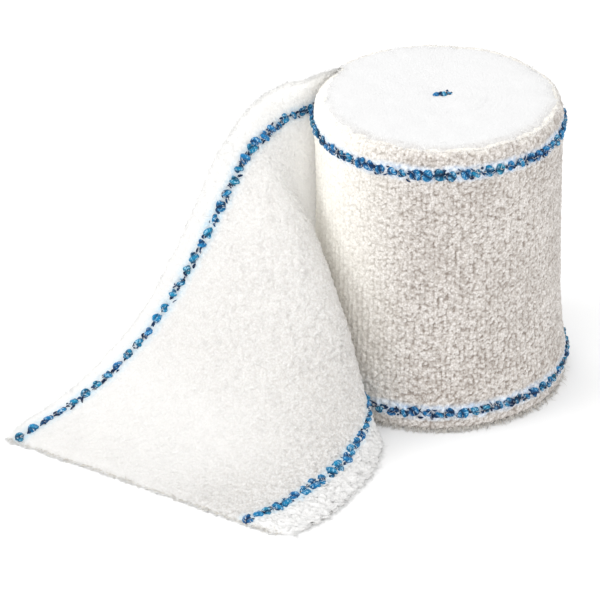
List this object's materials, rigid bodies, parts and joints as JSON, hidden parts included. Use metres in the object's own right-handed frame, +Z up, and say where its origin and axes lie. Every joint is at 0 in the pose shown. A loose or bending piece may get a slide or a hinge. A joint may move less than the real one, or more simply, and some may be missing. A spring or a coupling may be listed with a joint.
{
  "type": "crepe bandage roll",
  "caption": "Crepe bandage wound into a standing roll, its outer end let down in front, with a blue marker yarn along each selvage.",
  "frame": {"origin": "middle of the roll's flat base, on the surface that it stands on", "axes": "+Z up along the roll's winding axis; -Y towards the viewer, the loose end running to -X and -Y"},
  "size_m": [0.1877, 0.1546, 0.1015],
  "materials": {
    "cotton_crepe": "matt white crepe cotton with a pebbly, ribbed face",
    "blue_yarn": "matt dyed blue cotton yarn"
  },
  "bodies": {
    "root": {"roll": "cotton_crepe", "loose_end": "cotton_crepe", "yarn_roll_top": "blue_yarn", "yarn_roll_bottom": "blue_yarn", "yarn_end_top_inner": "blue_yarn", "yarn_end_bottom_inner": "blue_yarn", "yarn_end_top_outer": "blue_yarn", "yarn_end_bottom_outer": "blue_yarn", "yarn_core": "blue_yarn"}
  },
  "joints": []
}
